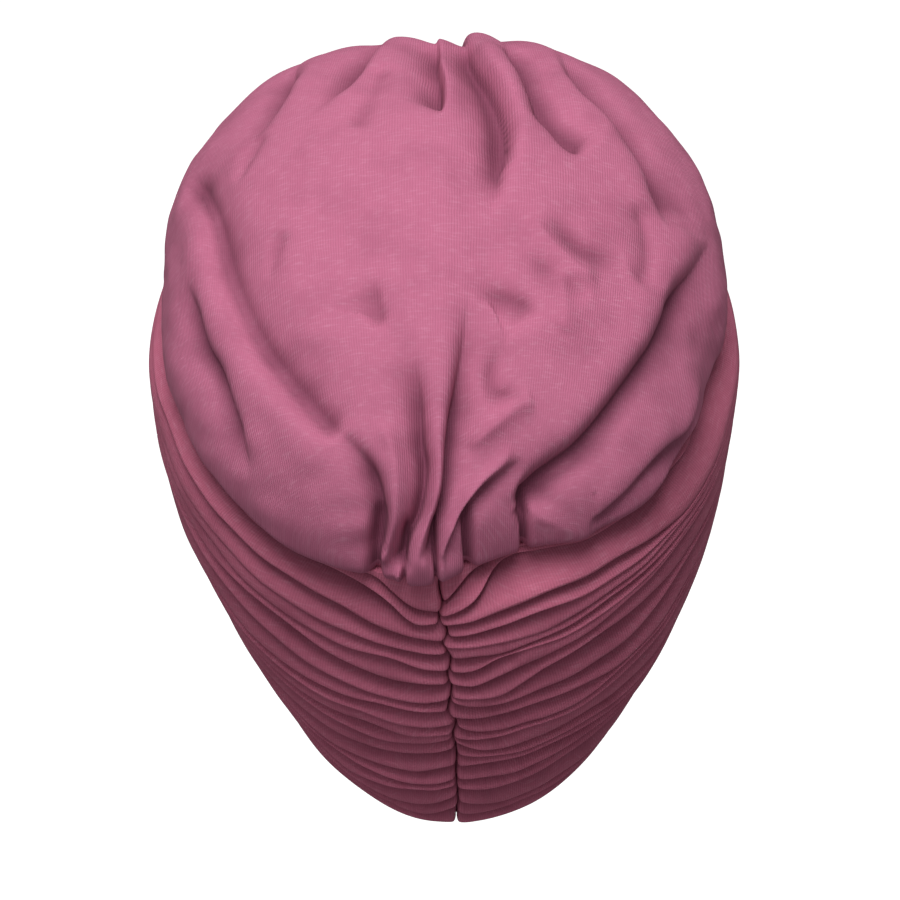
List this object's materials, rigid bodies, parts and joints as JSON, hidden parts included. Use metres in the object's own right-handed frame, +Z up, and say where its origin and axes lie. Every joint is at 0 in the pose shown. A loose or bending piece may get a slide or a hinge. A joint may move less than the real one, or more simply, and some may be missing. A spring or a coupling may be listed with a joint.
{
  "type": "pre-tied jersey turban",
  "caption": "Soft pre-tied turban: a gathered dome-shaped jersey crown on a wide ruched band, with a gathered seam at the back and front.",
  "frame": {"origin": "centre of the head opening at brow height, where a head sits in it", "axes": "+Z up through the crown, the wearer faces -Y, the wearer's left is +X; the back seam is at +Y"},
  "size_m": [0.181, 0.203, 0.2031],
  "materials": {
    "crown_jersey": "matt heathered dusty-rose cotton jersey, soft and finely ribbed, brightest on the raised folds",
    "band_jersey": "the same matt jersey in deep pleats, with fine ribs that cross the pleats",
    "seam_thread": "gathered raw jersey edge sewn with matching polyester thread"
  },
  "bodies": {
    "root": {"crown": "crown_jersey", "band_left": "band_jersey", "band_right": "band_jersey", "back_seam": "seam_thread", "front_seam": "seam_thread"}
  },
  "joints": []
}
